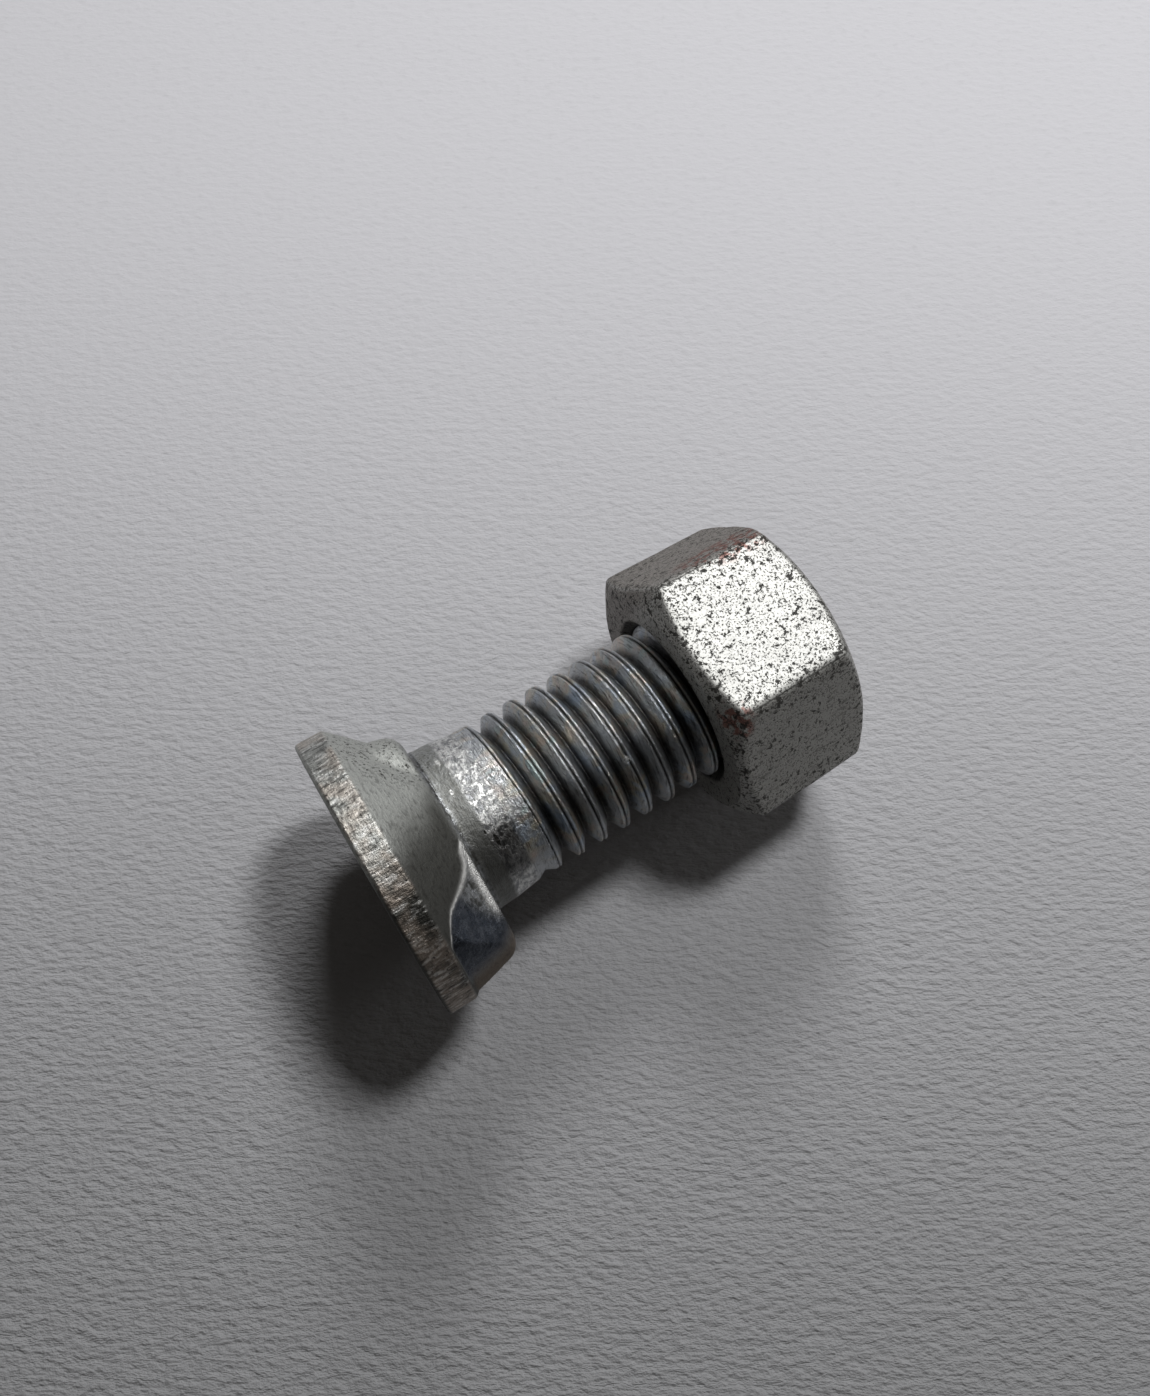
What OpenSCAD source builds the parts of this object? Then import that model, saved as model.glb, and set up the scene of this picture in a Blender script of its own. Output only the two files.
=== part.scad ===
// Countersunk plow bolt with two nibs under its head, and its hex nut run part-way down the thread.
// Each piece is drawn along its own axis, +X from the head's flat face towards the thread's end,
// and is then laid down as it comes to rest: on the rim of the head and on one flat of the nut.

/* [Bolt] */
// Overall length of the bolt, head included
bolt_len = 38.1; // [34:0.1:70]
// Length of the plain shank between the head's foot and the thread
shank_len = 1.36; // [0.5:0.01:20]
// Amount by which the shank is thinner than the thread's crests, on the diameter
shank_under = 0.1; // [0:0.05:0.3]
// Width of the chamfer where the shank drops to the thread
shank_chamfer = 0.16; // [0.1:0.02:0.5]

/* [Head] */
// Diameter of the flat head
head_d = 22.2; // [18:0.1:30]
// Thickness of the straight rim
rim_t = 2.2; // [1:0.1:4]
// Radius that rounds the rim's edge at the flat face
face_edge_r = 0.3; // [0.1:0.05:0.6]
// Radius that rounds the rim's edge towards the cone
cone_edge_r = 0.45; // [0.1:0.05:0.8]
// Angle between the countersunk cone and the bolt's axis
cone_angle = 45; // [38:0.5:50]
// Amount by which the cone's foot stands proud of the shank, on the radius
foot_proud = 0.45; // [0.1:0.05:0.8]
// Length over which the proud foot tapers down to the shank
foot_taper_len = 1.7; // [0.8:0.1:2.5]

/* [Nibs] */
// Distance from the rim inwards to the outer face of the full nib, at its end plane
nib_inset = 2.05; // [1:0.05:2.6]
// Distance from the rim inwards to the outer face of the nib that filled its die less
short_nib_inset = 2.9; // [1.5:0.1:3.2]
// Distance from the nibs' end plane to the cone's foot
nib_end_gap = 0.1; // [-0.4:0.05:0.6]
// Distance from the foot's radius inwards to the nib's leading side, at its end plane
nib_lead_inset = -0.07; // [-0.3:0.01:2.5]
// Slope of the leading side, widening towards the head
nib_lead_slope = 42; // [0:1:44]
// Lean of both sides, narrowing away from the axis
nib_lean = 7.5; // [0:0.5:15]
// Distance from the foot's radius inwards to the nib's trailing side, at its end plane
nib_trail_inset = 1.65; // [-0.3:0.05:3]
// Slope of the trailing side, widening towards the head
nib_trail_slope = 24; // [0:1:40]
// Slope of the outer face, which rises towards the head
nib_face_slope = 13; // [0:1:20]
// Distance from the rim inwards to the reach of a nib's corners, beside the rim
nib_rim_gap = 0.25; // [0.1:0.05:0.6]
// Radius of the long corners between a nib's sides and its outer face
nib_corner_r = 3.2; // [1:0.1:3.8]
// Radius of the edge between a nib's outer face and its end
nib_end_r = 1.1; // [0.3:0.1:1.6]
// Turn of the nibs about the axis, below the horizontal
nib_turn = 18; // [-90:1:90]

/* [Thread] */
// Major diameter of the rolled thread
thread_d = 12.5; // [12.4:0.05:13.2]
// Pitch of the thread, thirteen turns to the inch
pitch = 1.9538; // [1.5:0.001:2.2]
// Distance from the thread's root inwards to the edge of the bolt's flat end
end_inset = 0.15; // [0:0.05:1]
// Angle from the top, about the axis, at which the first groove starts
thread_turn = 48; // [3:5:358]
// Share of a turn over which the first groove reaches its full depth
thread_grow = 0.5; // [0.2:0.05:1]
// Columns of facets round the thread
thread_facets = 36; // [24:1:40]

/* [Nut] */
// Width across the flats of the nut, at its face towards the head
nut_af = 19.4; // [18:0.05:24]
// Height of the nut
nut_h = 10.9; // [8:0.1:14]
// Draft of the flats, narrowing away from the head
nut_draft = 1.8; // [0:0.1:3]
// Distance from the flats inwards to the edge of the bearing face, inside the chamfer
nut_face_inset = 0.6; // [0.2:0.05:1.2]
// Slope of the chamfer that trims the corners
nut_chamfer = 30; // [15:1:35]
// Width of the countersink at the mouths of the nut's hole
nut_sink = 0.64; // [0.3:0.02:0.9]
// Amount of the bolt's end that stands out of the nut, at rest
end_proud = 1.4; // [0:0.1:8]
// Running clearance between the nut's hole and the crests of the thread, on the radius
thread_clear = 0.06; // [0.02:0.01:0.1]

/* [Hidden] */

$fn = 96;
eps = 0.01;
// Step that keeps two faces of a nib from lying in one plane.
skin = 0.05;
far = 60;

head_r = head_d / 2;
thread_r = thread_d / 2;
shank_r = thread_r - shank_under / 2;

// The cone runs from the rim down to its foot, which stands a little proud of the shank.
foot_r = shank_r + foot_proud;
foot_x = rim_t + (head_r - foot_r) / tan(cone_angle);
edge_turn = 90 - cone_angle;
thread_start = foot_x + foot_taper_len + shank_len;

// Sharp 60 degree thread with its crests and roots cut flat.
thread_depth = 0.6134 * pitch;
root_r = thread_r - thread_depth;
end_r = root_r - end_inset;
crest_w = pitch / 8;
flank_w = thread_depth * tan(30);
root_w = pitch - crest_w - 2 * flank_w;
step_x = [0, crest_w, crest_w + flank_w, crest_w + flank_w + root_w];
thread_lead = 0.4;
turns = 1 + floor((bolt_len - thread_start - pitch - step_x[3] - 0.15) / pitch);
column = 4 * turns + 2;

nib_end_x = foot_x - nib_end_gap;
nib_lead_w = foot_r - nib_lead_inset;
nib_trail_w = foot_r - nib_trail_inset;

bore_r = thread_r + thread_clear;
nut_corner_r = nut_af / 2 / cos(30);
nut_face_r = nut_af / 2 - nut_face_inset;
nut_at = bolt_len - end_proud - nut_h;

// The resting tilt: the ground touches the rim's rounded edge and the far end of the nut's flat.
rim_touch_x = rim_t - cone_edge_r * tan(edge_turn / 2);
nut_touch_x = (nut_face_r + nut_h / tan(nut_chamfer) - nut_af / 2) / (1 / tan(nut_chamfer) - tan(nut_draft));
nut_touch_r = nut_af / 2 - nut_touch_x * tan(nut_draft);
rest_tilt = atan((head_r - nut_touch_r) / (nut_at + nut_touch_x - rim_touch_x));
axis_z = (head_r + rim_touch_x * tan(rest_tilt)) * cos(rest_tilt);
low_x = face_edge_r * (cos(rest_tilt) - 1) - (head_r - face_edge_r) * sin(rest_tilt);
bolt_far_x = bolt_len * cos(rest_tilt) + end_r * sin(rest_tilt);
nut_far_x = (nut_at + nut_h) * cos(rest_tilt) + nut_face_r * sin(rest_tilt);
mid_x = (low_x + max(bolt_far_x, nut_far_x)) / 2;

// Points of an arc about a centre, as [along the axis, radius].
function arc(cx, cr, r, a0, a1, n = 6) =
    [for (i = [0:n]) let (a = a0 + (a1 - a0) * i / n) [cx + r * cos(a), cr + r * sin(a)]];

// A solid of revolution about the X axis, from points given as [along the axis, radius].
module turned(profile) {
    rotate([0, 90, 0]) rotate_extrude() polygon([for (p = profile) [p[1], p[0]]]);
}

// Lays a piece down in its resting place.
module at_rest() {
    translate([-mid_x, 0, axis_z]) rotate([0, rest_tilt, 0]) children();
}

// Head, cone, proud foot and plain shank, as one turned form.
module head_and_shank() {
    turned(concat(
        [[0, 0]],
        arc(face_edge_r, head_r - face_edge_r, face_edge_r, 180, 90),
        arc(rim_touch_x, head_r - cone_edge_r, cone_edge_r, 90, 90 - edge_turn),
        [
            [foot_x, foot_r],
            [foot_x + foot_taper_len, shank_r],
            [thread_start - shank_chamfer, shank_r],
            [thread_start, shank_r - shank_chamfer],
            [thread_start, 0],
        ]
    ));
}

// An outline with one rounded corner: it lies to the left of the upright edge x = 0 and under an edge
// that rises to the left at the angle lean, with its corner at the origin before rounding.
module rounded_wedge(r, lean) {
    rise = r * (tan(lean) - 1 / cos(lean));
    union() {
        polygon([
            [-far, -far],
            [0, -far],
            [0, rise],
            [-r, rise],
            [-r + r * sin(lean), rise + r * cos(lean)],
            [-far, far * tan(lean)],
        ]);
        translate([-r, rise]) circle(r);
    }
}

// A long block that trims one side of a nib: its rounded corner follows the side's slope.
module nib_trim(w, slope, reach) {
    translate([nib_end_x, reach, w - reach * tan(nib_lean)]) rotate([0, slope, -nib_face_slope])
        rotate([90, 0, 90]) linear_extrude(far, center = true) rounded_wedge(nib_corner_r, nib_lean);
}

// The largest radius of a nib's corners, at a place along the axis.
function nib_limit(x) = head_r - nib_rim_gap - (x - rim_t) * tan(nib_face_slope);

// One nib, pointing along +Y: a block with a rounded outer end, trimmed by its two sloping sides and
// by a blunt cone that keeps its corners inside the rim.
module nib(reach) {
    intersection() {
        translate([rim_t, 0, -far / 2]) cube([far, far, far]);
        translate([rim_t - skin, 0, 0]) rotate([0, 90, 0]) rotate([0, 0, -90])
            cylinder(nib_end_x - rim_t + skin, nib_limit(rim_t - skin), nib_limit(nib_end_x));
        translate([nib_end_x + skin, reach + skin, -far / 2]) linear_extrude(far)
            rounded_wedge(nib_end_r, nib_face_slope);
        nib_trim(nib_lead_w, nib_lead_slope, reach);
        mirror([0, 0, 1]) nib_trim(nib_trail_w, nib_trail_slope, reach);
    }
}

// Radius of thread point j of turn t, where t counts from 0 at the start of the thread.
// The first groove deepens from nothing, and the far end is cut by a 45 degree chamfer.
function thread_point_r(j, t, x) =
    let (
        grown = min(1, t / thread_grow),
        blank_r = shank_r - shank_chamfer / 2,
        full_r = j < 2 ? thread_r : root_r
    )
    min(blank_r + (full_r - blank_r) * grown, end_r + bolt_len - x);

// The points of one column of the thread: start ring, four to each turn, end ring.
function thread_column(i) =
    let (lift = pitch * i / thread_facets, a = 360 * i / thread_facets)
    [for (m = [0:column - 1])
        let (
            k = floor((m - 1) / 4),
            j = (m - 1) % 4,
            x = m == 0 ? thread_start - thread_lead
                : m == column - 1 ? bolt_len
                : thread_start + lift + k * pitch + step_x[j],
            r = m == 0 ? shank_r - shank_chamfer
                : m == column - 1 ? end_r
                : thread_point_r(j, k + i / thread_facets, x)
        )
        [x, -r * sin(a), r * cos(a)]
    ];

// The threaded length as one closed skin. Neighbouring columns join point to point, and the last
// joins the first one turn further on, so each crest and root runs on as a helix.
module thread() {
    n = thread_facets;
    last = (n - 1) * column;
    tail = 4 * turns;
    points = [for (i = [0:n - 1]) each thread_column(i)];
    strips = [for (i = [0:n - 2], m = [0:column - 2])
        let (a = i * column + m, b = a + column)
        each [[a, a + 1, b + 1], [a, b + 1, b]]];
    seam = [for (m = [1:tail - 5])
        each [[last + m, last + m + 1, m + 5], [last + m, m + 5, m + 4]]];
    start_fan = concat([[last, last + 1, 0]], [for (m = [0:4]) [last + 1, m + 1, m]]);
    end_fan = concat(
        [for (m = [tail - 4:tail]) [tail, last + m, last + m + 1]],
        [[tail, last + tail + 1, tail + 1]]
    );
    start_disc = [[for (i = [0:n - 1]) i * column]];
    end_disc = [[for (i = [n - 1:-1:0]) i * column + column - 1]];
    polyhedron(points, concat(strips, seam, start_fan, end_fan, start_disc, end_disc));
}

// The bolt: one forging with its thread rolled on.
module plow_bolt() {
    color("silver") at_rest() union() {
        head_and_shank();
        rotate([90 - nib_turn, 0, 0]) rotate([90, 0, 0]) nib(head_r - nib_inset);
        rotate([270 - nib_turn, 0, 0]) rotate([90, 0, 0]) nib(head_r - short_nib_inset);
        rotate([thread_turn, 0, 0]) thread();
    }
}

// The nut: a chamfered blank with a countersunk hole, trimmed by six flats.
module hex_nut() {
    rise = (nut_corner_r + eps - nut_face_r) * tan(nut_chamfer);
    color("gray") at_rest() translate([nut_at, 0, 0]) difference() {
        turned([
            [nut_sink, bore_r],
            [0, bore_r + nut_sink],
            [0, nut_face_r],
            [rise, nut_corner_r + eps],
            [nut_h - rise, nut_corner_r + eps],
            [nut_h, nut_face_r],
            [nut_h, bore_r + nut_sink],
            [nut_h - nut_sink, bore_r],
        ]);
        for (k = [0:5]) rotate([60 * k, 0, 0]) translate([0, 0, nut_af / 2])
            rotate([0, nut_draft, 0]) translate([-far / 2, -far / 2, 0]) cube([far, far, far]);
    }
}

plow_bolt();
hex_nut();
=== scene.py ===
import logging
import math
from dataclasses import dataclass, field
from enum import Enum
from typing import Any, Callable

import bpy
import numpy as np
from mathutils import Euler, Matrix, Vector


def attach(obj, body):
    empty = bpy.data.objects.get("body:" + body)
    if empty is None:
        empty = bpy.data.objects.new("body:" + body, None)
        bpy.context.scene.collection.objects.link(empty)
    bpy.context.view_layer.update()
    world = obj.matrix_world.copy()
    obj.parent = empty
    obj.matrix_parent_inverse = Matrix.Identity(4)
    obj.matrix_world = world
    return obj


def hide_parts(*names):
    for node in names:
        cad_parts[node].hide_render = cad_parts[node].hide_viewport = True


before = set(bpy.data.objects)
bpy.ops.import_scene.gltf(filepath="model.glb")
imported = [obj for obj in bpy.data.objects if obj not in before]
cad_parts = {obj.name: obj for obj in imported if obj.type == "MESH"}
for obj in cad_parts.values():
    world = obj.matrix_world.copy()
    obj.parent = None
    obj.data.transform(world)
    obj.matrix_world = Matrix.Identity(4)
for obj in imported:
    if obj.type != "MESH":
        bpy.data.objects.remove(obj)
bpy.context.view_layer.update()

log = logging.getLogger("plow_bolt")

Colour = tuple[float, float, float]
Array = np.ndarray

FLANK_SLOPE = math.tan(math.radians(30))
SHANK_X = (0, 6.2, 6.9, 8.1, 8.4, 10.0, 10.4, 12.2, 13.2, 40)
SHANK_R = (6.58, 6.56, 6.53, 6.50, 6.475, 6.265, 6.24, 6.22, 6.25, 6.25)


def grey(level: float) -> Colour:
    """Returns a neutral colour of one level."""
    return (level, level, level)


def soft_max(a: Array, b: Array, width: float) -> Array:
    """Blends two surfaces where they meet in a hollow.

    Args:
        a: Radius of the first surface.
        b: Radius of the second surface.
        width: Difference in radius over which they blend.

    Returns:
        The outer of the two, with a fillet between them.
    """
    h = np.clip(0.5 + 0.5 * (a - b) / width, 0.0, 1.0)
    return b + (a - b) * h + width * h * (1.0 - h)


def soft_min(a: Array, b: Array, width: float) -> Array:
    """Returns the inner of two surfaces, with their edge rounded over width."""
    return -soft_max(-a, -b, width)


def smooth_step(x: Array, low: float, high: float) -> Array:
    """Returns 0 below low, 1 above high, and an easy slope between them."""
    t = np.clip((x - low) / (high - low), 0.0, 1.0)
    return t * t * (3.0 - 2.0 * t)


def wrapped(angle: float) -> float:
    """Returns the same angle between minus and plus half a turn."""
    return (angle + math.pi) % (2 * math.pi) - math.pi


def ripple(points: Array, size: float, seed: int, waves: int = 28) -> Array:
    """Gives a smooth, repeatable unevenness.

    Args:
        points: Places, one to a row.
        size: Typical width of a bump, in the points' own unit.
        seed: Number that picks the pattern.
        waves: Number of waves that are added up.

    Returns:
        One value for each point, mostly between -1 and 1.
    """
    rng = np.random.default_rng(seed)
    direction = rng.normal(size=(waves, points.shape[-1]))
    direction *= (math.pi / size / np.linalg.norm(direction, axis=1) * rng.uniform(0.6, 1.5, waves))[:, None]
    phase = rng.uniform(0, 2 * math.pi, waves)
    return np.cos(points @ direction.T + phase).sum(-1) * 0.7 / math.sqrt(waves)


@dataclass(frozen=True)
class Rest:
    """Where the parts lie: their own axis is tilted, lifted and centred in the row frame."""

    tilt: float = math.radians(2.8806726)
    axis_z: float = 11.187169
    mid_x: float = 18.877522

    def place(self, own: Array) -> Array:
        """Moves points to the row frame.

        Args:
            own: Points in millimetres, x along the axis from the head's face.

        Returns:
            The same points in metres, in the row frame.
        """
        c, s = math.cos(self.tilt), math.sin(self.tilt)
        x, y, z = own[:, 0], own[:, 1], own[:, 2]
        return np.stack([x * c + z * s - self.mid_x, y, -x * s + z * c + self.axis_z], 1) / 1000.0


@dataclass(frozen=True)
class Column:
    """One line of points along a piece, all at the same turn about its axis."""

    turn: float
    rank: Array
    x: Array
    r: Array
    marks: dict[str, Array]


@dataclass
class Skin:
    """Closes columns of points round an axis into one mesh."""

    name: str
    rest: Rest
    columns: list[Column] = field(default_factory=list)
    looped: bool = False

    def zipped(self, a: Array, b: Array, start_a: int, start_b: int) -> list[tuple[int, int, int]]:
        """Joins two neighbouring columns with triangles.

        Args:
            a: Ranks of the first column's points, rising.
            b: Ranks of the second column's points, rising.
            start_a: Number of the first column's first vertex.
            start_b: Number of the second column's first vertex.

        Returns:
            The triangles, as vertex numbers.
        """
        i = j = 0
        faces = []
        last_a, last_b = len(a) - 1, len(b) - 1
        while i < last_a or j < last_b:
            if j == last_b or (i < last_a and a[i + 1] <= b[j + 1]):
                faces.append((start_a + i, start_b + j, start_a + i + 1))
                i += 1
            else:
                faces.append((start_a + i, start_b + j, start_b + j + 1))
                j += 1
        return faces

    def build(self, shade: Callable[[Array], Array] | None = None) -> bpy.types.Object:
        """Makes the mesh object.

        Args:
            shade: Moves the points a little, in their own frame, before they are placed.

        Returns:
            The object, with its own-frame points and its marks as attributes.
        """
        starts = np.cumsum([0] + [len(c.x) for c in self.columns])
        x = np.concatenate([c.x for c in self.columns])
        r = np.concatenate([c.r for c in self.columns])
        turn = np.concatenate([np.full(len(c.x), c.turn) for c in self.columns])
        own = np.stack([x, -r * np.sin(turn), r * np.cos(turn)], 1)
        faces: list[tuple[int, int, int]] = []
        count = len(self.columns)
        for k in range(count):
            n = (k + 1) % count
            faces += self.zipped(self.columns[k].rank, self.columns[n].rank, int(starts[k]), int(starts[n]))
            if self.looped:
                a, b = int(starts[k + 1]) - 1, int(starts[n + 1]) - 1
                faces += [(a, b, int(starts[k])), (b, int(starts[n]), int(starts[k]))]
        marks = {m: np.concatenate([c.marks[m] for c in self.columns]) for m in self.columns[0].marks}
        if not self.looped:
            total = len(x)
            poles = [[self.columns[0].x[0], 0, 0], [self.columns[0].x[-1], 0, 0]]
            own = np.vstack([own, poles])
            for m in marks:
                marks[m] = np.append(marks[m], [self.columns[0].marks[m][0], self.columns[0].marks[m][-1]])
            for k in range(count):
                n = (k + 1) % count
                faces.append((total, int(starts[n]), int(starts[k])))
                faces.append((int(starts[k + 1]) - 1, int(starts[n + 1]) - 1, total + 1))
        if shade is not None:
            own = shade(own)
        mesh = bpy.data.meshes.new(self.name)
        mesh.from_pydata(self.rest.place(own).tolist(), [], faces)
        mesh.attributes.new("own", "FLOAT_VECTOR", "POINT").data.foreach_set("vector", own.astype(np.float32).ravel())
        for m, values in marks.items():
            mesh.attributes.new(m, "FLOAT", "POINT").data.foreach_set("value", values.astype(np.float32))
        mesh.polygons.foreach_set("use_smooth", [True] * len(mesh.polygons))
        mesh.update()
        piece = bpy.data.objects.new(self.name, mesh)
        bpy.context.scene.collection.objects.link(piece)
        return piece


@dataclass(frozen=True)
class Thread:
    """The rolled right-hand thread that the bolt and the nut share."""

    pitch: float = 1.9538
    crest_at: float = 11.516
    major_r: float = 6.25
    root_r: float = 5.06
    flat: float = 0.27
    furrow: float = 0.13
    nut_minor_r: float = 5.42
    nut_major_r: float = 6.33

    def turns(self, x: Array, turn: float) -> Array:
        """Returns how many pitches x is past the first crest, at this turn about the axis."""
        return (x - self.crest_at) / self.pitch - turn / (2 * math.pi)

    def ridge(self, x: Array, turn: float) -> tuple[Array, Array]:
        """Shapes the bolt's thread at its full depth.

        Args:
            x: Places along the axis.
            turn: Turn about the axis, in radians from the top.

        Returns:
            The depth below the crest, and the depth of the crest's own furrow.
        """
        q = self.turns(x, turn)
        off = np.abs(q - np.round(q)) * self.pitch
        flank = np.maximum(off - self.flat, 0.0) / FLANK_SLOPE
        depth = soft_min(flank, np.full_like(flank, self.major_r - self.root_r), 0.3)
        depth = np.maximum(depth, 0.0) + 0.05 * smooth_step(off, self.flat - 0.06, self.flat + 0.04)
        furrow = 0.09 * (1 - smooth_step(off, 0.02, self.furrow))
        return depth, furrow

    def grown(self, x: Array, turn: float) -> Array:
        """Returns how far the groove beside x has grown, from 0 at its start to 1."""
        groove = np.floor(self.turns(x, turn)) + 1
        return smooth_step(groove + turn / (2 * math.pi), 0.07, 0.62)

    def bore(self, x: Array, turn: float) -> Array:
        """Returns the radius of the nut's thread at places x along the axis."""
        q = self.turns(x, turn) + 0.5
        off = np.abs(q - np.round(q)) * self.pitch
        flank = self.nut_minor_r + np.maximum(off - 0.22, 0.0) / FLANK_SLOPE
        return soft_min(flank, np.full_like(flank, self.nut_major_r), 0.12)

    def rows(self, turn: float, low: float, high: float, offsets: Array) -> Array:
        """Lists the places along the axis where points follow the helix.

        Args:
            turn: Turn about the axis, in radians.
            low: Lowest place kept.
            high: Highest place kept.
            offsets: Places within one pitch, as shares of it.

        Returns:
            The places, rising.
        """
        first = self.crest_at + self.pitch * turn / (2 * math.pi)
        start = math.floor((low - first) / self.pitch) - 1
        count = math.ceil((high - low) / self.pitch) + 3
        x = first + (np.arange(start, start + count)[:, None] + offsets[None, :]).ravel() * self.pitch
        return x[(x > low) & (x < high)]


@dataclass(frozen=True)
class Nib:
    """One of the two nibs that keep the bolt from turning."""

    turn: float
    reach: float
    end_x: float = 6.55
    lead_w: float = 6.95
    lead_slope: float = math.radians(42)
    lead_limit: float = 3.2
    cove: float = 0.22
    rim_r: float = 11.0
    trail_w: float = 5.0
    trail_slope: float = math.radians(24)
    lean: float = math.radians(5.0)
    face_slope: float = math.radians(13)
    corner_r: float = 3.2
    end_r: float = 1.0
    side_end_r: float = 0.2

    def flank(self, angle: float, w: Array, reach: Array) -> Array:
        """Radius of one half of the nib's section.

        Args:
            angle: Angle from the nib's middle, in radians, at or above 0.
            w: Offset of the side from the axis.
            reach: Distance from the axis to the outer face.

        Returns:
            The radius where a ray at this angle leaves the section.
        """
        lean, big = self.lean, self.corner_r
        cu, cw = reach - big, w - math.tan(lean) * (reach - big) - big / math.cos(lean)
        du, dw = math.cos(angle), math.sin(angle)
        out = reach / max(du, 1e-3)
        side = w / max(dw + math.tan(lean) * du, 1e-3)
        along = cu * du + cw * dw
        across = cu * dw - cw * du
        arc = along + np.sqrt(np.maximum(big * big - across * across, 0.0))
        first = np.arctan2(cw, reach)
        second = np.arctan2(cw + big * math.cos(lean), cu + big * math.sin(lean))
        return np.where(angle < first, out, np.where(angle > second, side, arc))

    def radius(self, x: Array, turn: float) -> Array:
        """Returns the nib's radius at places x along the axis, or 0 where it isn't."""
        angle = wrapped(turn - self.turn)
        if abs(angle) > math.radians(100):
            return np.zeros_like(x)
        back = np.maximum(self.end_x - x, 0.0)

        def rounding(r: float) -> Array:
            inner = np.clip(r - back, 0.0, r)
            return r - np.sqrt(r * r - inner * inner)

        reach = self.reach + back * math.tan(self.face_slope) - rounding(self.end_r)
        w, grow = self.trail_w, back * math.tan(self.trail_slope)
        if angle < 0:
            w, grow = self.lead_w, soft_min(back * math.tan(self.lead_slope), np.full_like(x, self.lead_limit), 0.6)
            grow = grow - self.cove * (1 - np.exp(-back / 0.5))
        side = w + grow - rounding(self.side_end_r)
        inside = self.rim_r - (x - 2.2) * math.tan(self.face_slope)
        r = soft_min(self.flank(abs(angle), side, reach), inside, 0.12)
        r = r - 0.5 * smooth_step(np.array(abs(angle)), math.radians(84), math.radians(100))
        return np.where(x <= self.end_x, r, 0.0)

    def leading(self, turn: float) -> float:
        """Returns 1 on the leading side of the nib, and 0 away from it."""
        angle = wrapped(turn - self.turn)
        low, high = math.radians(33), math.radians(45)
        return float(smooth_step(np.array(-angle), low, high)) if -angle < math.radians(100) else 0.0


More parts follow.
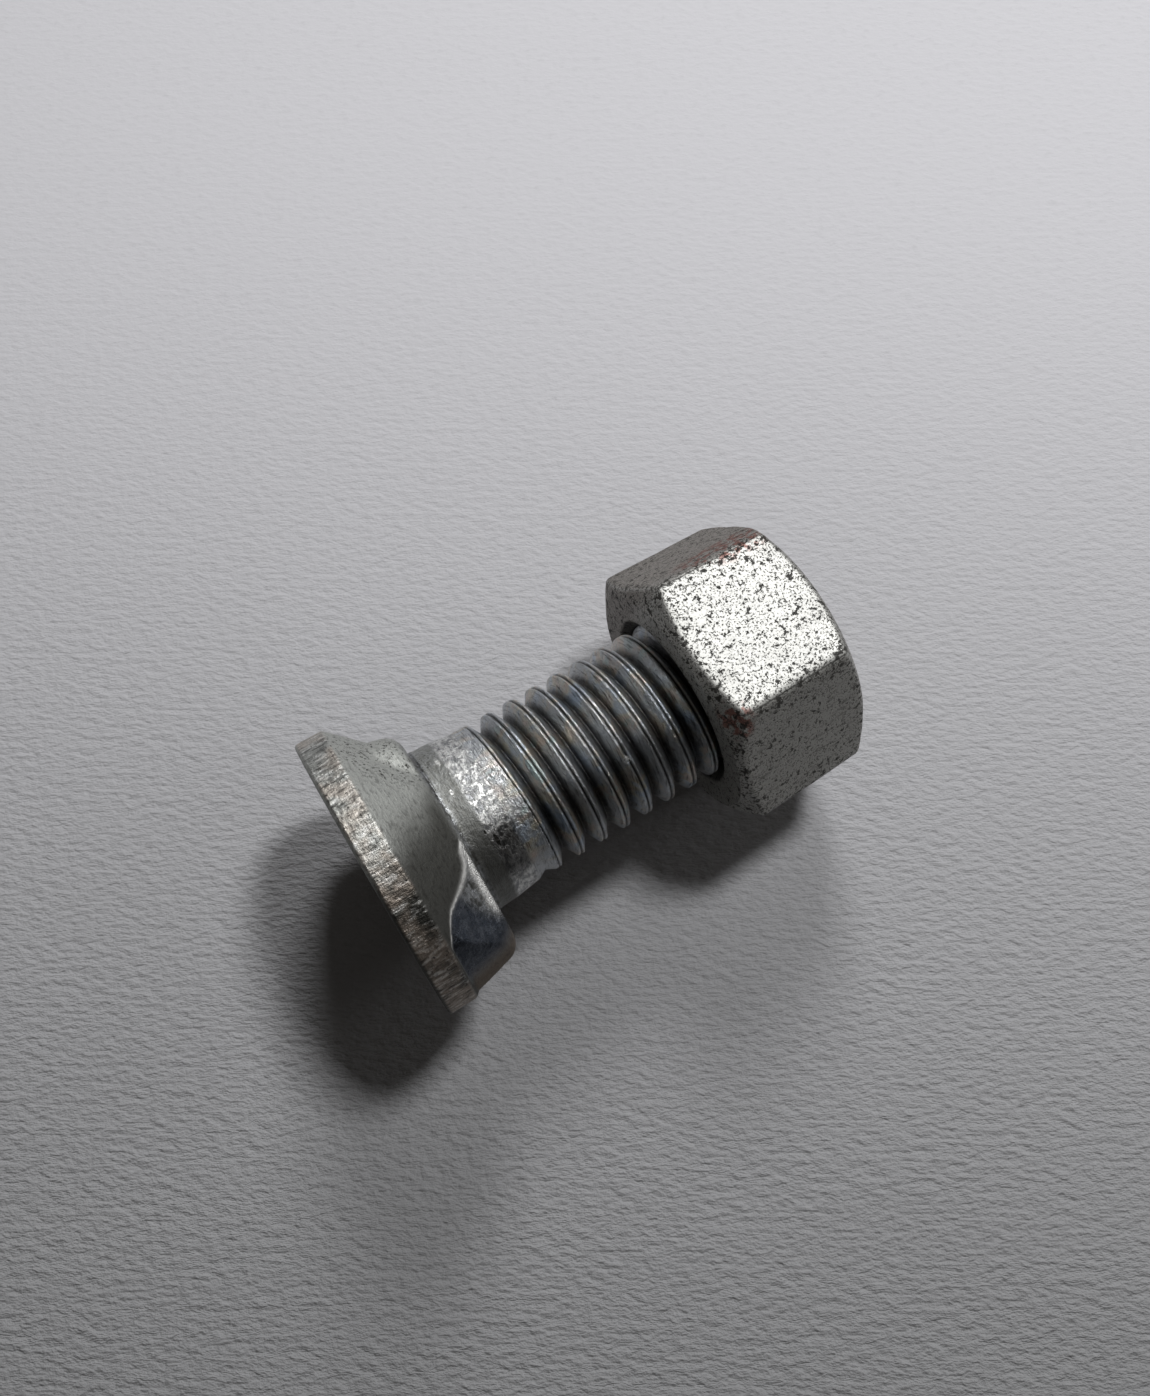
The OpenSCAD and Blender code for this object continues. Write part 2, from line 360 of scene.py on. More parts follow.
@dataclass
class Bolt:
    """The bolt: flat head, cone with two nibs, plain shank and rolled thread."""

    rest: Rest
    thread: Thread
    head_r: float = 11.1
    rim_t: float = 2.2
    foot_x: float = 6.65
    foot_r: float = 6.65
    length: float = 38.1
    end_r: float = 4.9
    helix_from: float = 10.46
    columns: int = 188
    nibs: tuple[Nib, ...] = (Nib(math.radians(108), 9.05), Nib(math.radians(288), 8.2))

    def base(self, x: Array) -> Array:
        """Returns the radius of the turned form, without nibs or thread."""
        cone = self.foot_r + (self.foot_x - x)
        return soft_max(cone, np.interp(x, SHANK_X, SHANK_R), 0.38)

    def radius(self, x: Array, turn: float) -> tuple[Array, dict[str, Array]]:
        """Shapes the bolt behind its rim.

        Args:
            x: Places along the axis.
            turn: Turn about the axis, in radians.

        Returns:
            The radius at each place, and the marks that its finish reads; some of them mask painted highlights and
            painted shade.
        """
        core = self.base(x)
        lugs = np.max([nib.radius(x, turn) for nib in self.nibs], axis=0)
        lead = max(nib.leading(turn) for nib in self.nibs)
        r = np.where(lugs > 0, soft_max(core, lugs, 0.16 - 0.1 * lead), core)
        r = r + 0.05 * lead * np.exp(-((lugs - core) / 0.05) ** 2)
        seam = np.exp(-((x - self.foot_x - 0.06) / 0.1) ** 2)
        near = max(math.exp(-((wrapped(turn - n.turn) / 1.1) ** 4)) for n in self.nibs)
        r = r - 0.1 * seam * near
        depth, furrow = self.thread.ridge(x, turn)
        grown = self.thread.grown(x, turn)
        cut = depth * grown
        r = r - cut - 1.4 * furrow * smooth_step(grown, 0.25, 0.8)
        r = np.minimum(r, self.end_r + self.length - x)
        marks = {
            "nib": smooth_step(lugs - core, 0.0, 0.3),
            "lead": smooth_step(lugs - core, -0.02, 0.06) * lead,
            # The next three marks are masks for painted light on the leading nib's facet: a highlight line along its
            # junction with the cone, a highlight streak near its end, and shade on its outer part.
            "ridge": np.exp(-((lugs - core) / 0.05) ** 2) * lead,
            "streak": np.exp(-((x - 6.25) / 0.3) ** 2) * (1 - smooth_step(r, 8.2, 9.0)) * (lugs > core) * lead,
            "deep": smooth_step(r, 8.3, 9.3) * (lugs > core) * lead,
            "crease": np.exp(-((x - 6.72) / 0.3) ** 2),
            # groove and seam also mask painted shade in the thread's grooves and crest furrows.
            "groove": np.clip(cut / 1.19, 0, 1),
            "seam": furrow / 0.09 * smooth_step(grown, 0.25, 0.8),
            "shine": 0.4 * smooth_step(x, self.foot_x - 0.1, self.foot_x + 0.2) + 0.6 * smooth_step(x, 8.1, 8.5),
            "rim": np.zeros_like(x),
        }
        return r, marks

    def column(self, turn: float) -> Column:
        """Lists the points of the bolt at one turn about its axis."""
        face_r = np.array([1.2, 2.6, 4.0, 5.4, 6.8, 8.0, 9.0, 9.8, 10.35, 10.65])
        face_x = 0.05 * (1 - (face_r / 10.8) ** 2)
        edge = np.radians(np.linspace(180, 90, 7))
        rim_x = np.linspace(0.45, 1.9, 9)
        knee_x = self.rim_t - 0.45 * math.tan(math.radians(22.5))
        knee = np.radians(np.linspace(90, 48, 7))
        spans = ((2.42, 6.2, 0.095), (6.2, 6.95, 0.04), (6.95, 10.4, 0.17))
        body_x = np.concatenate([np.arange(*span) for span in spans])
        share = np.array([0.0, 0.02, 0.045, 0.07, 0.1, 0.128, 0.15, 0.21, 0.3, 0.4, 0.45, 0.48])
        offsets = np.sort(np.concatenate([share, [0.5], 1 - share[1:]]))
        helix_x = self.thread.rows(turn, self.helix_from, self.length - 0.12, offsets)
        tail_x = np.concatenate([body_x, helix_x])
        tail_r, marks = self.radius(tail_x, turn)
        end_r = np.array([4.86, 4.75, 4.4, 3.6, 2.6, 1.5, 0.6])
        end_x = self.length - np.array([0.05, 0.0, 0.0, 0.02, 0.08, 0.14, 0.16])
        x = np.concatenate([face_x, 0.304 + 0.3 * np.cos(edge), rim_x, knee_x + 0.45 * np.cos(knee), tail_x, end_x])
        r = np.concatenate([
            face_r, 10.8 + 0.3 * np.sin(edge), np.full(9, self.head_r), 10.65 + 0.45 * np.sin(knee), tail_r, end_r,
        ])
        front = len(x) - len(tail_x) - len(end_x)
        rank = np.concatenate([np.arange(front) * 0.01 - 5, tail_x, self.length + np.arange(len(end_x)) * 0.01])
        rim = smooth_step(x, 0.1, 0.3) * (1 - smooth_step(x, 2.05, 2.35))
        full = {m: np.concatenate([np.zeros(front), v, np.zeros(len(end_x))]) for m, v in marks.items()}
        full["rim"] = rim
        return Column(turn, rank, x, r, full)

    def worn(self, own: Array) -> Array:
        """Works forging and shear marks into the points. The rim's are all inwards.

        Args:
            own: Points of the bolt in its own frame.

        Returns:
            The moved points.
        """
        x, y, z = own[:, 0], own[:, 1], own[:, 2]
        r = np.hypot(y, z)
        rim = smooth_step(x, 0.05, 0.4) * (1 - smooth_step(x, 2.0, 2.5)) * (r > 9)
        sheared = np.maximum(ripple(own * [0.25, 1, 1], 0.9, 3), -0.3) * 0.035 + 0.02
        cone = smooth_step(x, 2.3, 3.0) * (1 - smooth_step(x, 6.2, 6.9))
        forged = ripple(own, 1.6, 5) * 0.02 + ripple(own, 0.7, 6) * 0.012
        shank = smooth_step(x, 7.0, 8.0) * (1 - smooth_step(x, 36, 38))
        rolled = ripple(own * [1, 0.6, 0.6], 1.4, 8) * 0.012
        shift = -(rim * sheared) + cone * forged + shank * rolled - 0.012 * shank
        scale = np.where(r > 0.5, (r + shift) / np.maximum(r, 0.5), 1.0)
        return np.stack([x, y * scale, z * scale], 1)

    def build(self) -> bpy.types.Object:
        """Makes the bolt's mesh object."""
        spread = np.linspace(0, 2 * math.pi, 2001)
        density = 1 + 2.2 * np.exp(-((spread - math.radians(34)) / math.radians(20)) ** 4)
        total = np.concatenate([[0], np.cumsum((density[1:] + density[:-1]) / 2)])
        turns = np.interp(np.arange(self.columns) / self.columns * total[-1], total, spread)
        skin = Skin("bolt_forging", self.rest, [self.column(float(t)) for t in turns])
        return skin.build(self.worn)


@dataclass
class Nut:
    """The hex nut: drafted flats, chamfered ends, countersunk and tapped."""

    rest: Rest
    thread: Thread
    at: float = 25.8
    across: float = 19.4
    height: float = 10.9
    draft: float = math.radians(1.8)
    face_r: float = 9.1
    sink_r: float = 6.95
    sector: int = 40

    def hexagon(self, x: Array, turn: float) -> Array:
        """Returns the radius of the six flats, with their corners rounded."""
        off = (turn + math.pi / 6) % (math.pi / 3) - math.pi / 6
        flat = self.across / 2 - x * math.tan(self.draft)
        return soft_min(flat / math.cos(off), flat / math.cos(math.pi / 3 - abs(off)), 0.7)

    def column(self, turn: float) -> Column:
        """Lists the points of the nut at one turn, out over its faces and back through its hole."""
        h, slope = self.height, math.tan(math.radians(60))
        near_c = float((self.hexagon(np.array([0.6]), turn)[0] - self.face_r) / slope)
        far_c = float((self.hexagon(np.array([h - 0.6]), turn)[0] - self.face_r) / slope)
        bevel = np.array([0.08, 0.2, 0.4, 0.6, 0.78, 0.9, 0.97, 1.0])
        flat = np.array([0.012, 0.03, 0.055, 0.09, 0.14, 0.2, 0.27, 0.35, 0.43, 0.5])
        flat = np.concatenate([flat, 1 - flat[-2::-1]])
        out_x = np.concatenate([near_c * bevel, near_c + (h - near_c - far_c) * flat, h - far_c * bevel[::-1]])
        hexagon = self.hexagon(out_x, turn)
        bevels = soft_min(self.face_r + slope * out_x, self.face_r + slope * (h - out_x), 0.1)
        out_r = soft_min(hexagon, bevels, 0.45)
        face = np.linspace(self.sink_r + 0.05, self.face_r, 12)
        lip = np.zeros_like(face)
        offsets = np.linspace(0, 1, 17)[:-1]
        hole_x = self.thread.rows(turn, self.at + 0.05, self.at + h - 0.05, offsets)[::-1] - self.at
        hole_r = self.thread.bore(hole_x + self.at, turn)
        sink = np.maximum(self.sink_r - hole_x, self.sink_r - (h - hole_x))
        hole_r = soft_max(hole_r, sink, 0.08)
        x = np.concatenate([lip, out_x, lip + h, hole_x])
        r = np.concatenate([face, out_r, face[::-1], hole_r])
        turned_in = len(x) - len(hole_x)
        rank = np.concatenate([np.arange(turned_in) * 0.01 - 10, h - hole_x])
        off = abs((turn + math.pi / 6) % (math.pi / 3) - math.pi / 6)
        corner = (math.pi / 6 - off) * 10
        gap = np.minimum(corner, np.abs(bevels - hexagon) / 1.2)
        # The countersinks and bore, which the finish paints darker as shade.
        hole = (r < self.sink_r).astype(float)
        side = round(turn / (math.pi / 3)) % 6
        on_flat = np.concatenate([np.zeros(12), smooth_step(bevels - hexagon, 0.0, 0.3), np.zeros(12 + len(hole_x))])
        rim = 0.6 * np.exp(-np.abs(face - self.face_r) / 0.25)
        edge = np.concatenate([rim, np.exp(-gap / 0.8), rim[::-1], np.zeros(len(hole_x))])
        # The flat that lies on top at rest, which the finish paints lighter as a highlight.
        top = on_flat * (1.0 if side == 0 else 0.0)
        return Column(turn, rank, x + self.at, r, {"edge": edge, "hole": hole, "flat": on_flat, "top": top})

    def worn(self, own: Array) -> Array:
        """Works forging dents into the flats, inwards only."""
        x, y, z = own[:, 0], own[:, 1], own[:, 2]
        r = np.hypot(y, z)
        outer = smooth_step(r, 8.6, 9.4)
        dents = np.clip(ripple(own, 1.1, 21) - 0.35, 0, 1) * 0.05 + np.clip(ripple(own, 3.0, 22), 0, 1) * 0.03
        scale = (r - outer * dents) / np.maximum(r, 0.5)
        return np.stack([x, y * scale, z * scale], 1)

    def build(self) -> bpy.types.Object:
        """Makes the nut's mesh object."""
        t = (np.arange(self.sector) + 0.5) / self.sector * 2 - 1
        within = math.pi / 6 * (1.35 * t - 0.35 * t**3)
        turns = np.concatenate([k * math.pi / 3 + within for k in range(6)])
        skin = Skin("nut_forging", self.rest, [self.column(float(t)) for t in turns], looped=True)
        return skin.build(self.worn)


class Wire:
    """A shader socket that can stand in a Python expression."""

    def __init__(self, sheet: "Sheet", socket: bpy.types.NodeSocket) -> None:
        """Keeps the socket and the sheet that it is on."""
        self.sheet = sheet
        self.socket = socket

    def _math(self, operation: str, *values: "Wire | float") -> "Wire":
        """Adds one Math node."""
        return self.sheet.node("ShaderNodeMath", {"operation": operation}, dict(enumerate(values)))

    def __add__(self, other: "Wire | float") -> "Wire":
        """Adds a value."""
        return self._math("ADD", self, other)

    __radd__ = __add__

    def __sub__(self, other: "Wire | float") -> "Wire":
        """Takes a value away."""
        return self._math("SUBTRACT", self, other)

    def __rsub__(self, other: "Wire | float") -> "Wire":
        """Is taken away from a value."""
        return self._math("SUBTRACT", other, self)

    def __mul__(self, other: "Wire | float") -> "Wire":
        """Multiplies by a value."""
        return self._math("MULTIPLY", self, other)

    __rmul__ = __mul__

    def most(self, other: "Wire | float") -> "Wire":
        """Returns the larger of the two."""
        return self._math("MAXIMUM", self, other)

    def ramp(self, low: float, high: float) -> "Wire":
        """Spreads low to high over 0 to 1 with an easy slope, and holds the ends."""
        settings = {"interpolation_type": "SMOOTHSTEP"}
        return self.sheet.node("ShaderNodeMapRange", settings, {"Value": self, "From Min": low, "From Max": high})


class Sheet:
    """The nodes of one material."""

    def __init__(self, name: str) -> None:
        """Starts an empty sheet with its surface shader."""
        self.material = bpy.data.materials.new(name)
        self.material.use_nodes = True
        self.tree = self.material.node_tree
        self.tree.nodes.clear()
        self.shader = self.tree.nodes.new("ShaderNodeBsdfPrincipled")
        self.output = self.tree.nodes.new("ShaderNodeOutputMaterial")
        self.tree.links.new(self.shader.outputs[0], self.output.inputs["Surface"])

    def plug(self, socket: bpy.types.NodeSocket, value: Any) -> None:
        """Links a wire to a socket, or sets the socket to a value."""
        if isinstance(value, Wire):
            self.tree.links.new(value.socket, socket)
        elif socket.type == "RGBA" and len(value) == 3:
            socket.default_value = (*value, 1.0)
        else:
            socket.default_value = value

    def node(self, kind: str, settings: dict[str, Any] | None = None, inputs: dict[Any, Any] | None = None,
             output: int | str = 0) -> Wire:
        """Adds any node.

        Args:
            kind: Type of the node.
            settings: Its properties, or "stops" for a ramp's positions and colours. They are set first.
            inputs: Values or wires for its sockets, by name or number.
            output: The output to return, by name or number.

        Returns:
            The output as a wire.
        """
        made = self.tree.nodes.new(kind)
        for key, value in (settings or {}).items():
            if key == "stops":
                points = made.color_ramp.elements
                while len(points) < len(value):
                    points.new(0.5)
                for point, (place, colour) in zip(points, value):
                    point.position = place
                    point.color = (*colour, 1.0)
            else:
                setattr(made, key, value)
        for key, value in (inputs or {}).items():
            self.plug(made.inputs[key], value)
        return Wire(self, made.outputs[output])

    def mark(self, name: str) -> Wire:
        """Reads one of the mesh's marks."""
        return self.node("ShaderNodeAttribute", {"attribute_name": name}, output="Fac")

    def own(self, stretch: tuple[float, float, float] = (1.0, 1.0, 1.0)) -> Wire:
        """Reads the point in the piece's own frame, in millimetres, stretched."""
        point = self.node("ShaderNodeAttribute", {"attribute_name": "own"}, output="Vector")
        return self.node("ShaderNodeVectorMath", {"operation": "MULTIPLY"}, {0: point, 1: stretch})

    def noise(self, where: Wire, per_mm: float, detail: float = 3.0, rough: float = 0.55) -> Wire:
        """Adds a noise texture of so many bumps to a millimetre."""
        inputs = {"Vector": where, "Scale": per_mm, "Detail": detail, "Roughness": rough}
        return self.node("ShaderNodeTexNoise", {"noise_dimensions": "3D"}, inputs, "Fac")

    def blend(self, a: Wire | Colour, b: Wire | Colour, share: Wire | float) -> Wire:
        """Blends two colours, from a at 0 to b at 1."""
        settings = {"data_type": "RGBA", "blend_type": "MIX", "clamp_factor": True}
        return self.node("ShaderNodeMix", settings, {0: share, 6: a, 7: b}, 2)

    def spot(self, centre: Colour, stretch: Colour, radius: float) -> Wire:
        """Marks a small place on the piece.

        Args:
            centre: The place, in the piece's own frame.
            stretch: How much each direction counts towards the distance.
            radius: Distance at which the mark ends.

        Returns:
            A mark that falls from 1 at the place to 0.
        """
        point = self.node("ShaderNodeAttribute", {"attribute_name": "own"}, output="Vector")
        off = self.node("ShaderNodeVectorMath", {"operation": "SUBTRACT"}, {0: point, 1: centre})
        off = self.node("ShaderNodeVectorMath", {"operation": "MULTIPLY"}, {0: off, 1: stretch})
        away = self.node("ShaderNodeVectorMath", {"operation": "LENGTH"}, {0: off}, "Value")
        return 1.0 - away.ramp(radius * 0.6, radius)

    def reach(self, point: Wire, direction: Colour) -> Wire:
        """Measures how far a point lies along a direction."""
        return self.node("ShaderNodeVectorMath", {"operation": "DOT_PRODUCT"}, {0: point, 1: direction}, "Value")

    def bump(self, height: Wire, distance: float, strength: float) -> Wire:
        """Turns a height into a normal."""
        return self.node("ShaderNodeBump", {}, {"Height": height, "Distance": distance, "Strength": strength})

    def finish(self, **sockets: Any) -> bpy.types.Material:
        """Sets the surface shader's sockets, by name with _ for a space, and returns the material."""
        for key, value in sockets.items():
            self.plug(self.shader.inputs[key.replace("_", " ")], value)
        return self.material


@dataclass(frozen=True)
class BoltPlate:
    """Zinc plate on the bolt: matte on the cone, bright on the shank, tinted in the thread, with painted shade and
    painted highlights.
    """

    matte: Colour = (0.40, 0.41, 0.39)
    # Dark plate in the taper's mottle, and also the colour of painted shade on the cone and on the nut's lower flats.
    dull_and_shade: Colour = (0.085, 0.085, 0.078)
    # Colour of painted shade on the leading nib's facet.
    blue_black_shade: Colour = (0.04, 0.05, 0.07)
    bright: Colour = (0.30, 0.31, 0.32)
    rolled: Colour = (0.50, 0.52, 0.54)
    # Bright zinc for the shank's band, the rim's lumps and chips, and also the colour of painted highlights on the
    # nib.
    bright_zinc_and_glint: Colour = (0.92, 0.92, 0.90)
    # Colour of dark specks, pits and dents, and also of painted shade.
    soot_and_shade: Colour = (0.02, 0.018, 0.016)
    warm: Colour = (0.60, 0.50, 0.42)
    rust: Colour = (0.20, 0.15, 0.11)

    def material(self) -> bpy.types.Material:
        """Builds the bolt's material."""
        s = Sheet("bolt_zinc_plate")
        own = s.own()
        shine, rim, groove, nib, lead, crease, seam, ridge, streak, deep = (s.mark(m) for m in (
            "shine", "rim", "groove", "nib", "lead", "crease", "seam", "ridge", "streak", "deep"))
        cloud = s.noise(own, 0.35, 3)
        grain = s.noise(own, 5.5, 4, 0.65)
        fine = s.noise(own, 16.0, 2)
        lines = s.noise(s.own((5.0, 0.35, 0.35)), 2.2, 3)
        shear = s.noise(s.own((0.25, 1.0, 1.0)), 3.4, 4, 0.65)
        brushed = s.noise(s.own((1.0, 0.4, 0.4)), 4.5, 4, 0.6)
        smooth = shine.most(lead).most(crease)
        along, aside = s.reach(own, (1.0, 0.0, 0.0)), s.reach(own, (0.0, -1.0, 0.0))
        threaded = along.ramp(9.9, 10.5)
        mottle = s.noise(s.own((1.0, 0.7, 0.7)), 2.4, 5, 0.7).ramp(0.38, 0.62)
        taper = s.blend(self.dull_and_shade, self.bright, mottle)
        band = s.blend(taper, s.blend(self.bright, self.bright_zinc_and_glint, mottle), along.ramp(8.15, 8.4) * 0.8)
        plate = s.blend(self.matte, s.blend(band, self.rolled, threaded), smooth)
        # Painted shade: the cone is painted darker towards its lower, -Y side, where its face turns from the lamps;
        # it also darkens towards the foot and in cloudy patches.
        dull_and_shade = (0.7 * along + aside + 3.0 * cloud).ramp(2.0, 6.6) * (1 - smooth)
        plate = s.blend(plate, self.dull_and_shade, dull_and_shade)
        # Painted shade: the plain shank is painted darker on its -Y side, where it faces away from the lamps, in
        # cloudy patches.
        shaded = aside.ramp(1.4, 3.2) * (1 - aside.ramp(5.0, 6.0)) * shine * (1 - 0.6 * threaded)
        plate = s.blend(plate, self.soot_and_shade, shaded * (0.5 + 0.6 * cloud))
        # Painted highlights: a bright streak across the leading nib's facet near its end, and a bright line where the
        # facet meets the cone.
        plate = s.blend(plate, self.bright_zinc_and_glint, streak.most(ridge * 0.8))
        # Painted shade: the outer part of the leading nib's facet, which turns away from the lamps, is painted
        # blue-black.
        plate = s.blend(plate, self.blue_black_shade, deep * 0.8)
        tint = s.node("ShaderNodeValToRGB", {"stops": [
            (0.34, (0.36, 0.52, 0.74)), (0.44, (0.62, 0.70, 0.78)), (0.50, (0.78, 0.68, 0.38)),
            (0.57, (0.82, 0.50, 0.30)), (0.65, (0.42, 0.66, 0.58)),
        ]}, {"Fac": s.noise(s.own((0.8, 1.0, 1.0)), 0.55, 3)}, "Color")
        plate = s.blend(plate, tint, threaded * 0.3 * cloud.ramp(0.4, 0.6))
        specks = s.noise(own, 3.2, 3, 0.6).ramp(0.62, 0.68)
        dark = (specks * (0.35 + 0.5 * rim)).most(grain.ramp(0.6, 0.72) * 0.5)
        dark = dark.most(rim * shear.ramp(0.5, 0.66) * 0.7)
        plate = s.blend(plate, self.bright_zinc_and_glint, rim * (1 - shear.ramp(0.36, 0.5)) * 0.6)
        dark = dark.most(lines.ramp(0.5, 0.72) * shine * (0.35 + 0.35 * threaded))
        dark = dark.most(brushed.ramp(0.48, 0.72) * (1 - smooth) * 0.45)
        plate = s.blend(plate, self.warm, rim * cloud.ramp(0.4, 0.6) * 0.45)
        plate = s.blend(plate, self.rust, (nib - lead).most(0.0) * (0.3 + 0.6 * grain) * aside.ramp(-2.0, 2.0))
        pocks = s.noise(own, 4.2, 3, 0.6).ramp(0.58, 0.62) * s.spot((4.8, 6.4, 6.2), (1.0, 1.0, 1.0), 5.0)
        plate = s.blend(plate, self.soot_and_shade, dark.most(pocks * 0.9))
        # Painted shade: the thread's grooves and the furrows along its crests are painted darker.
        plate = s.blend(plate, self.soot_and_shade, groove.ramp(0.35, 0.95) * 0.85)
        plate = s.blend(plate, self.soot_and_shade, seam * 0.92)
        nick = s.spot((8.67, -3.2, 5.54), (3.6, 1.0, 1.0), 0.62).most(s.spot((8.2, -2.4, 5.9), (3.0, 1.5, 1.0), 0.3))
        plate = s.blend(plate, self.soot_and_shade, nick * 0.9)
        chip = s.spot((19.36, -3.06, 5.39), (1.0, 1.0, 1.0), 0.35)
        chip = chip.most(s.spot((7.96, 3.75, 5.31), (4.5, 1.0, 1.0), 0.7))
        chip = chip.most(s.spot((7.65, 1.04, 6.42), (4.5, 1.5, 1.0), 0.6))
        plate = s.blend(plate, self.bright_zinc_and_glint, chip * grain.ramp(0.42, 0.5) * 0.8)
        rough = 0.50 - 0.23 * smooth - 0.12 * rim - 0.08 * lead + 0.12 * grain + 0.06 * cloud
        metal = 0.90 + 0.10 * smooth.most(rim)
        height = grain * (1 - 0.6 * shine) + 0.35 * fine + lines * shine * 1.1 + shear * rim * 3.6
        height = height + brushed * (1 - shine) * 1.6 + mottle * shine * 1.2 - nick * 1.5
        normal = s.bump(height, 0.00005, 0.7)
        return s.finish(Base_Color=plate, Metallic=metal, Roughness=rough, Normal=normal)


@dataclass(frozen=True)
class NutPlate:
    """Thin bright grey zinc plate on the nut, pitted and specked dark, coppery at a few edges; the flat that lies on
    top at rest is painted lighter as a highlight, and the other flats darker as shade.
    """

    silver_and_lit: Colour = (0.50, 0.50, 0.48)
    dull_and_shade: Colour = (0.38, 0.375, 0.355)
    # Colour of dark pits and specks, and also of painted shade in the hole and along the top flat's edges.
    soot_and_shade: Colour = (0.02, 0.018, 0.015)
    copper: Colour = (0.22, 0.075, 0.055)
    brown: Colour = (0.16, 0.13, 0.11)

    def material(self) -> bpy.types.Material:
        """Builds the nut's material."""
        s = Sheet("nut_zinc_plate")
        own = s.own()
        edge, hole, flat, top = (s.mark(m) for m in ("edge", "hole", "flat", "top"))
        cloud = s.noise(own, 0.3, 3)
        grain = s.noise(own, 6.0, 4, 0.7)
        pits = s.noise(own, 2.3, 5, 0.64)
        small = s.noise(own, 6.5, 3, 0.6)
        streak = s.noise(s.own((0.3, 1.0, 1.0)), 3.0, 4, 0.6)
        # Painted light: the flat that lies on top at rest is painted lighter as a highlight, and the other flats
        # darker as shade.
        plate = s.blend(self.dull_and_shade, self.silver_and_lit, top * 0.8 + 0.2)
        plate = s.blend(plate, self.dull_and_shade, grain.ramp(0.5, 0.75) * 0.5)
        aside = s.reach(own, (0.0, 1.0, 0.0))
        plate = s.blend(plate, self.brown, aside.ramp(4.5, 7.0) * (1 - top) * 0.5)
        plate = s.blend(plate, self.silver_and_lit, edge.ramp(0.7, 1.0) * (1 - top) * 0.6)
        low = 0.585 - 0.045 * edge - 0.02 * (1 - top)
        near = (pits - low).ramp(0.0, 0.05)
        tiny = (small - low + 0.01).ramp(0.0, 0.04)
        dark = near.most(tiny * 0.8).most((1 - top) * flat * streak.ramp(0.5, 0.75) * 0.6)
        bare = s.spot((34.0, 6.5, 8.5), (0.45, 1.0, 1.0), 2.6).most(s.spot((25.9, -5.6, 9.2), (1.0, 1.0, 1.0), 2.2))
        reddish = s.noise(own, 1.6, 4).ramp(0.45, 0.56) * bare
        plate = s.blend(plate, self.copper, reddish * 0.8)
        plate = s.blend(plate, self.soot_and_shade, dark * 0.92)
        # Painted shade: the countersinks and the bore are painted darker, and so are thin lines along the edges of
        # the top flat.
        plate = s.blend(plate, self.soot_and_shade, (hole * 0.6).most(edge.ramp(0.8, 0.95) * top * 0.8))
        rough = 0.42 + 0.2 * grain + 0.1 * cloud + 0.2 * dark
        height = grain * 0.5 - near * 1.6 - tiny * 0.8 + streak * (1 - top) * 0.6
        normal = s.bump(height, 0.00005, 0.7)
        return s.finish(Base_Color=plate, Metallic=1.0 - 0.5 * dark, Roughness=rough, Normal=normal)


@dataclass(frozen=True)
class Paper:
    """The pale sheet under the parts."""

    light: Colour = (0.575, 0.573, 0.600)
    shade: Colour = (0.235, 0.237, 0.242)

    def material(self) -> bpy.types.Material:
        """Builds the paper's material."""
        s = Sheet("studio_paper")
        place = s.node("ShaderNodeTexCoord", {}, {}, "Object")
        across, along = s.reach(place, (0.848, -0.530, 0.0)), s.reach(place, (0.530, 0.848, 0.0))
        fall = along.ramp(-0.072, 0.068)
        tone = s.blend(self.shade, self.light, fall)
        weave = s.node("ShaderNodeCombineXYZ", {}, {"X": across * 0.5, "Y": along})
        fibre = s.noise(weave, 1800.0, 4, 0.6)
        broad = s.noise(place, 90.0, 3)
        tone = s.blend(tone, grey(0.2), fibre.ramp(0.5, 0.8) * 0.12)
        height = (fibre + 0.5 * broad) * (1.1 - fall)
        normal = s.bump(height, 0.0006, 0.9)
        return s.finish(Base_Color=tone, Roughness=0.85, Normal=normal)


class Facing(Enum):
    """What a lamp's panel is for."""

    KEY = "key"
    SIDE = "side"
    FILL = "fill"


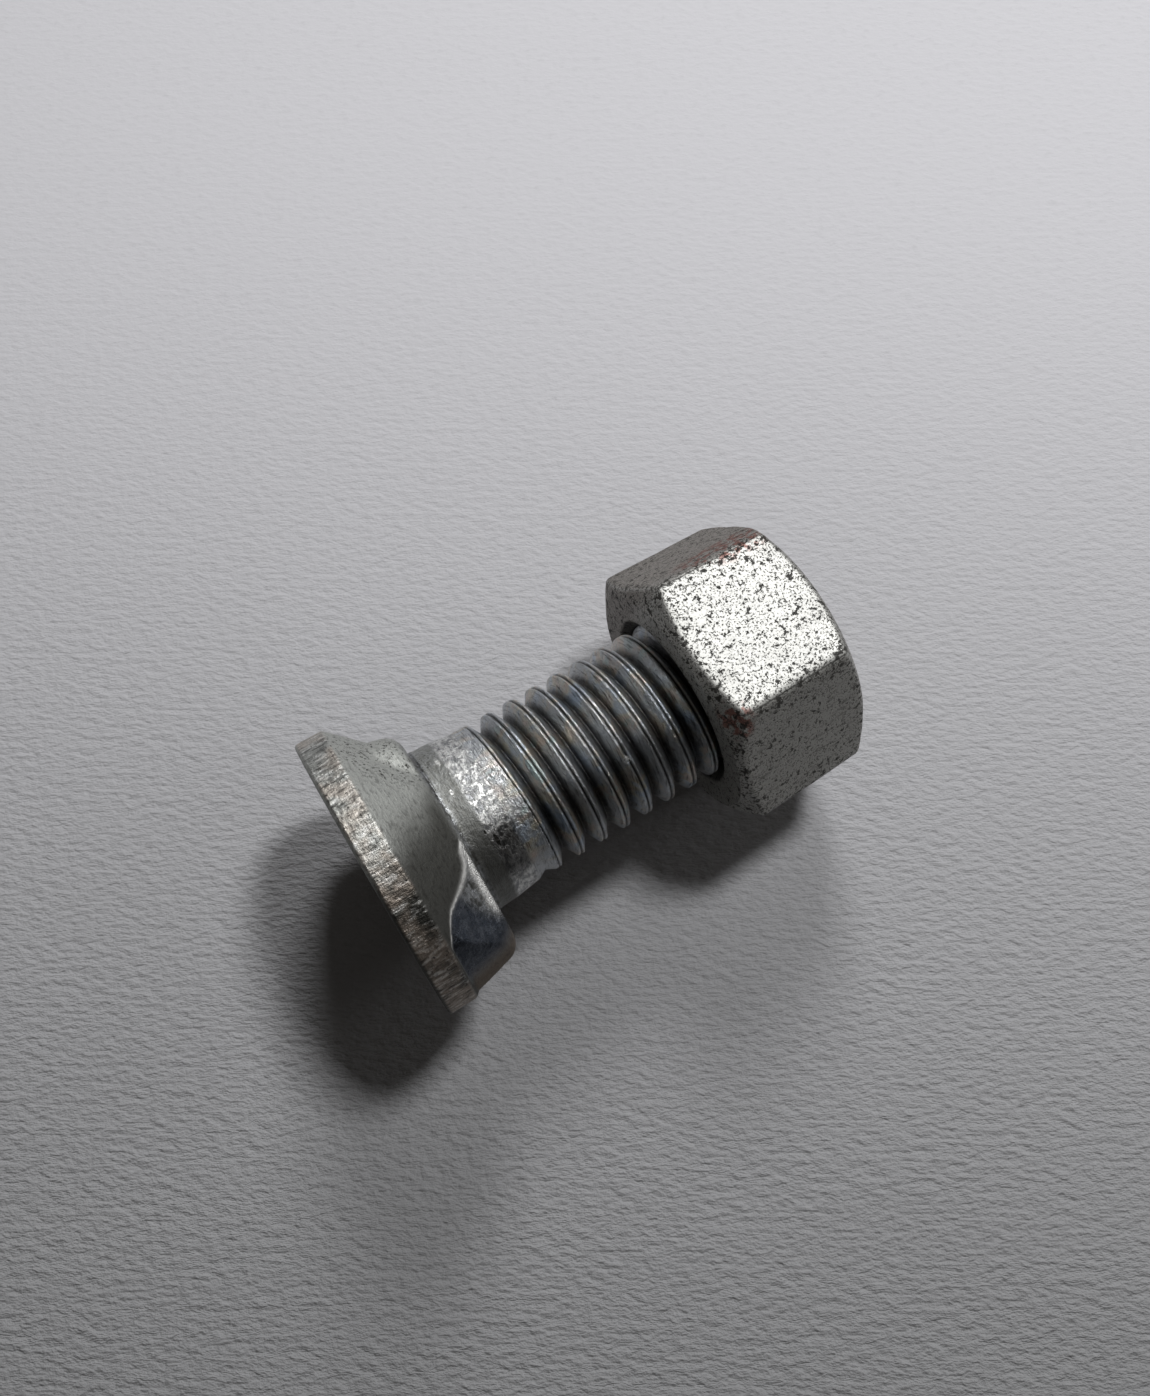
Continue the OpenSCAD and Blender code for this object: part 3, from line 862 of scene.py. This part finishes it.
@dataclass
class Studio:
    """Camera, lamps, world and floor."""

    eye: tuple[float, float, float] = (-0.01287984, -0.01825573, 0.10104944)
    angles: tuple[float, float, float] = (16.074382, 0.09913, -31.969821)
    focal_px: float = 1250.0
    long_px: float = 1396.0
    middle: tuple[float, float, float] = (0.0, 0.0, 0.008)
    glow: Colour = (1.0, 0.93, 0.86)
    glow_strength: float = 0.05
    floor_reach: float = 1.2

    def camera(self) -> bpy.types.Object:
        """Makes the camera and returns it."""
        data = bpy.data.cameras.new("studio_camera")
        data.sensor_fit = "AUTO"
        data.sensor_width = 36.0
        data.lens = 36.0 * self.focal_px / self.long_px
        data.clip_start = 0.005
        data.clip_end = 10.0
        made = bpy.data.objects.new("studio_camera", data)
        made.location = self.eye
        made.rotation_euler = Euler([math.radians(a) for a in self.angles], "XYZ")
        bpy.context.scene.collection.objects.link(made)
        bpy.context.scene.camera = made
        return made

    def lamp(self, facing: Facing, towards: tuple[float, float, float], distance: float, size: float,
             watts: float) -> bpy.types.Object:
        """Hangs a square panel lamp that points at the parts.

        Args:
            facing: What the panel is for.
            towards: Direction from the parts to the lamp.
            distance: Distance from the parts, in metres.
            size: Side of the panel, in metres.
            watts: Its power.

        Returns:
            The lamp.
        """
        data = bpy.data.lights.new(f"{facing.value}_panel", "AREA")
        data.shape = "SQUARE"
        data.size = size
        data.energy = watts
        made = bpy.data.objects.new(f"{facing.value}_panel", data)
        direction = Vector(towards).normalized()
        made.location = Vector(self.middle) + direction * distance
        made.rotation_euler = direction.to_track_quat("Z", "Y").to_euler()
        bpy.context.scene.collection.objects.link(made)
        return made

    def floor(self) -> bpy.types.Object:
        """Lays the sheet of paper under the parts."""
        far = self.floor_reach
        mesh = bpy.data.meshes.new("studio_floor")
        mesh.from_pydata([(-far, -far, 0), (far, -far, 0), (far, far, 0), (-far, far, 0)], [], [(0, 1, 2, 3)])
        made = bpy.data.objects.new("studio_floor", mesh)
        mesh.materials.append(Paper().material())
        bpy.context.scene.collection.objects.link(made)
        return made

    def world(self) -> None:
        """Sets a dim, even world."""
        made = bpy.data.worlds.new("studio_world")
        made.use_nodes = True
        background = made.node_tree.nodes["Background"]
        background.inputs["Color"].default_value = (*self.glow, 1.0)
        background.inputs["Strength"].default_value = self.glow_strength
        bpy.context.scene.world = made

    def build(self) -> None:
        """Sets the whole studio up."""
        self.camera()
        self.floor()
        self.world()
        self.lamp(Facing.KEY, (0.466, 0.160, 0.870), 0.5, 0.08, 1.5)
        self.lamp(Facing.SIDE, (0.440, 0.653, 0.616), 0.5, 0.12, 1.15)
        self.lamp(Facing.FILL, (0.920, -0.220, 0.330), 0.5, 0.16, 0.2)
        bpy.context.scene.view_settings.view_transform = "Standard"


def main() -> None:
    """Builds the parts and the studio."""
    logging.basicConfig(level=logging.INFO, format="%(name)s: %(message)s")
    rest, thread = Rest(), Thread()
    for maker, body, node, slot, finish in (
        (Bolt(rest, thread), "bolt", "plow_bolt", "bolt_zinc", BoltPlate()),
        (Nut(rest, thread), "nut", "hex_nut", "nut_zinc", NutPlate()),
    ):
        piece = maker.build()
        piece.data.materials.append(finish.material())
        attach(piece, body)
        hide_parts(node)
        log.info("%s: %d triangles", piece.name, len(piece.data.polygons))
    Studio().build()
    log.info("boxes written")


if __name__ == "__main__":
    main()
